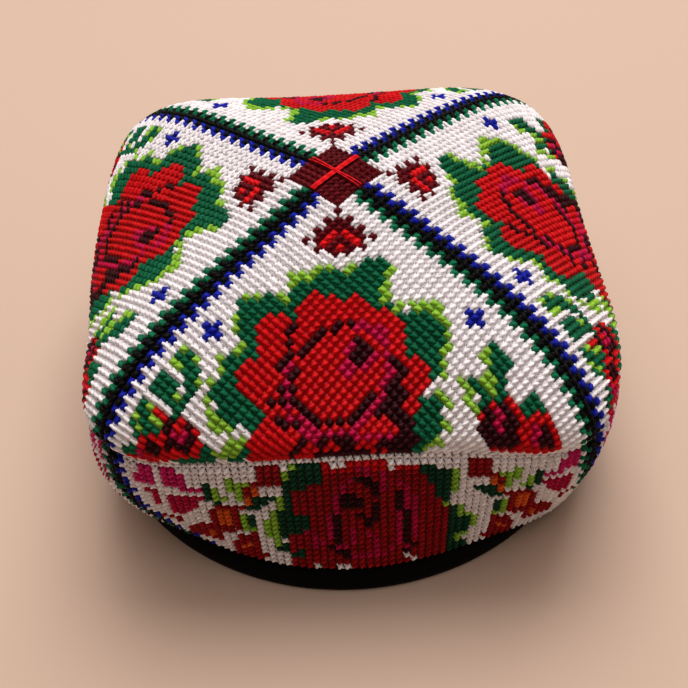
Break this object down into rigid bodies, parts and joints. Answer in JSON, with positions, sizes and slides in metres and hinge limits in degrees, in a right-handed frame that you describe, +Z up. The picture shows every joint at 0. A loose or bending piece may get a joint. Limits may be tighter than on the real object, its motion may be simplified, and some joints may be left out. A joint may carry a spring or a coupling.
{
  "type": "prayer cap",
  "caption": "Four-cornered prayer cap with a domed square crown, an upright band and a velvet-bound round head opening.",
  "frame": {"origin": "centre of the round head opening, on the plane that the rim rests on", "axes": "+Z up through the middle of the crown, -Y towards the front panel, +X to the wearer's left"},
  "size_m": [0.1856, 0.1856, 0.1105],
  "materials": {
    "cross_stitched_canvas": "matte",
    "cross_stitched_band": "matte",
    "black_velvet": "matte"
  },
  "bodies": {
    "root": {"crown_front": "cross_stitched_canvas", "crown_right": "cross_stitched_canvas", "crown_back": "cross_stitched_canvas", "crown_left": "cross_stitched_canvas", "band_front": "cross_stitched_band", "band_right": "cross_stitched_band", "band_back": "cross_stitched_band", "band_left": "cross_stitched_band", "rim_binding": "black_velvet"}
  },
  "joints": []
}
